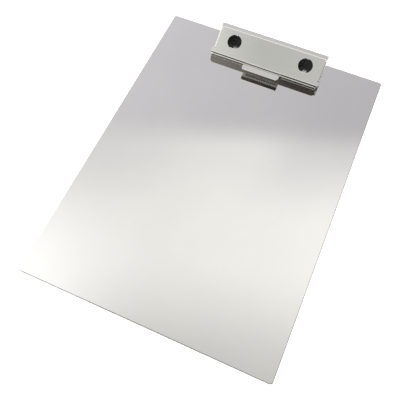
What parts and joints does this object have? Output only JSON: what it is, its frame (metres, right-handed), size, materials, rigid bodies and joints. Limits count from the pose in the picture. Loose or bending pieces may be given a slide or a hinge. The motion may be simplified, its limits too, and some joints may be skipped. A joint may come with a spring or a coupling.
{
  "type": "clipboard",
  "caption": "Plain stainless steel clipboard for A4 paper: flat sheet board with a wide spring lever clip, finger tab, V-fold jaw and round eye holes at the top edge.",
  "frame": {"origin": "centre of the board's underside", "axes": "+X right across the board, +Y up the board towards the clip, +Z out of the writing face"},
  "size_m": [0.226, 0.31, 0.0212],
  "materials": {
    "board": "satin, nearly mirror bright stainless sheet",
    "lever": "satin pressed stainless sheet",
    "base": "thin satin black coating on sheet steel",
    "pin": "drawn stainless wire",
    "spring": "drawn spring steel wire",
    "rivet": "bright stainless"
  },
  "bodies": {
    "board": {"board": "board", "clip_base": "base", "hinge_pin": "pin", "rivet_left": "rivet", "rivet_right": "rivet", "torsion_spring_left": "spring", "torsion_spring_right": "spring"},
    "lever": {"clip_lever": "lever"}
  },
  "joints": [
    {"name": "lever_hinge", "type": "hinge", "parent": "board", "child": "lever", "pos_m": [0, 0.1295, 0.008], "axis": [-1, 0, 0], "range_deg": [0, 35], "stiffness_Nm_per_rad": 0.12, "springref_deg": -57.3, "deforming": ["torsion_spring_left", "torsion_spring_right"]}
  ]
}
